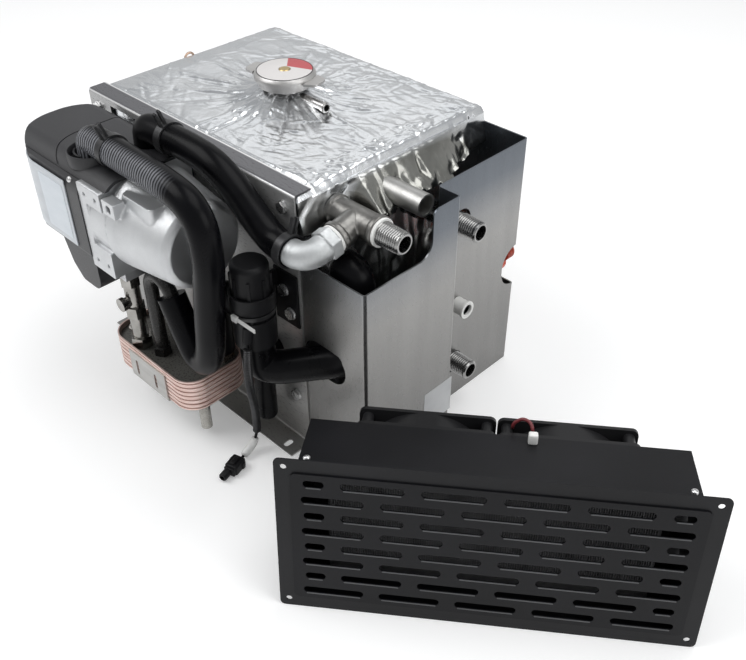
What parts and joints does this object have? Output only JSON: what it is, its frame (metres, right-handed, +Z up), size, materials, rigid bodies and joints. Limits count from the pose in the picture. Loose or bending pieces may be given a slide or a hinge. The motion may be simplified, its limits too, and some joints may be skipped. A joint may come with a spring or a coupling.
{
  "type": "diesel combi heater",
  "caption": "Foil-wrapped water tank in a folded steel casing, with a coolant burner, pump, plate exchanger and hoses in front, and a separate warm-air unit with fans.",
  "frame": {"origin": "On the floor under the middle of the casing's base.", "axes": "+X towards the pipe connections, -Y towards the burner and hoses, +Z up."},
  "size_m": [0.7199, 0.4004, 0.3339],
  "materials": {
    "stainless_sheet": "satin",
    "bolt_steel": "bright",
    "spring_steel": "blackened",
    "tank_steel": "polished",
    "foil_felt": "bright foil face on felt",
    "cap_metal": "pressed bright",
    "valve_metal": "plain",
    "cast_steel": "cast",
    "zinced_iron": "zinced",
    "plated_pipe": "plated thread",
    "white_tape": "matt",
    "white_plastic": "gloss",
    "valve_brass": "nickel plated",
    "red_plastic": "satin",
    "black_plastic": "satin",
    "data_plate": "satin",
    "cast_aluminium": "blasted casting",
    "motor_metal": "plain",
    "black_rubber": "matt",
    "copper_plates": "brazed copper edges",
    "black_paint": "fine satin powder coat",
    "coil_fins": "plain",
    "wire_red": "satin"
  },
  "bodies": {
    "heater_set": {"front_chassis": "stainless_sheet", "side_cover": "stainless_sheet", "base_tray": "stainless_sheet", "casing_bolts": "bolt_steel", "tank_vessel": "tank_steel", "foil_jacket": "foil_felt", "filler_neck": "tank_steel", "tee_fitting": "cast_steel", "hose_elbow": "zinced_iron", "outlet_nipple": "plated_pipe", "thread_tape": "white_tape", "side_nipples": "plated_pipe", "drain_outlet": "white_plastic", "relief_valve": "valve_brass", "blower_housing": "black_plastic", "data_cover": "data_plate", "intake_housing": "black_plastic", "burner_block": "cast_aluminium", "water_jacket": "cast_aluminium", "flame_tube": "bolt_steel", "blower_motor": "motor_metal", "water_ports": "cast_aluminium", "exhaust_stub": "bolt_steel", "heater_plate": "stainless_sheet", "supply_hose": "black_rubber", "return_hose": "black_rubber", "pump_hose": "black_rubber", "inlet_hose": "black_rubber", "drain_hose": "black_rubber", "hose_clamps": "spring_steel", "exchanger_pack": "copper_plates", "exchanger_ends": "tank_steel", "exchanger_fittings": "valve_brass", "exchanger_strap": "stainless_sheet", "swan_neck": "motor_metal", "isolating_union": "valve_brass", "pump_body": "black_plastic", "pump_strap": "spring_steel", "cable_tie": "black_plastic", "floor_lead": "black_rubber", "lead_gland": "black_plastic", "lead_plug": "black_plastic", "air_housing": "black_paint", "front_grille": "black_paint", "air_coil": "coil_fins", "fan_frames": "black_plastic", "fan_lead": "wire_red", "fan_joint": "white_plastic", "air_screws": "bolt_steel"},
    "cap_stem": {"cap_valve": "valve_metal"},
    "cap": {"cap_shell": "cap_metal"},
    "relief_knob": {"relief_knob": "red_plastic"},
    "blower_wheel": {"blower_wheel": "black_plastic"},
    "pump_impeller": {"pump_impeller": "black_plastic"},
    "fan_rotor_left": {"fan_rotor_left": "black_plastic"},
    "fan_rotor_right": {"fan_rotor_right": "black_plastic"}
  },
  "joints": [
    {"name": "cap_lift", "type": "slide", "parent": "heater_set", "child": "cap_stem", "axis": [0, 0, 1], "range_m": [0, 0.05]},
    {"name": "cap_turn", "type": "hinge", "parent": "cap_stem", "child": "cap", "pos_m": [-0.03475, 0, 0.316], "axis": [0, 0, 1], "range_deg": [0, 90]},
    {"name": "relief_turn", "type": "hinge", "parent": "heater_set", "child": "relief_knob", "pos_m": [0.152, 0.1098, 0.134], "axis": [0, 1, 0], "range_deg": [0, 90]},
    {"name": "blower_spin", "type": "hinge", "parent": "heater_set", "child": "blower_wheel", "pos_m": [-0.112, -0.18, 0.239], "axis": [1, 0, 0], "continuous": true},
    {"name": "impeller_spin", "type": "hinge", "parent": "heater_set", "child": "pump_impeller", "pos_m": [0.097, -0.164, 0.167], "axis": [0, 0, 1], "continuous": true},
    {"name": "fan_left_spin", "type": "hinge", "parent": "heater_set", "child": "fan_rotor_left", "pos_m": [0.27258, -0.12506, 0.06798], "axis": [-0.5996, 0.7885, -0.1366], "continuous": true},
    {"name": "fan_right_spin", "type": "hinge", "parent": "heater_set", "child": "fan_rotor_right", "pos_m": [0.3689, -0.05182, 0.06798], "axis": [-0.5996, 0.7885, -0.1366], "continuous": true}
  ]
}
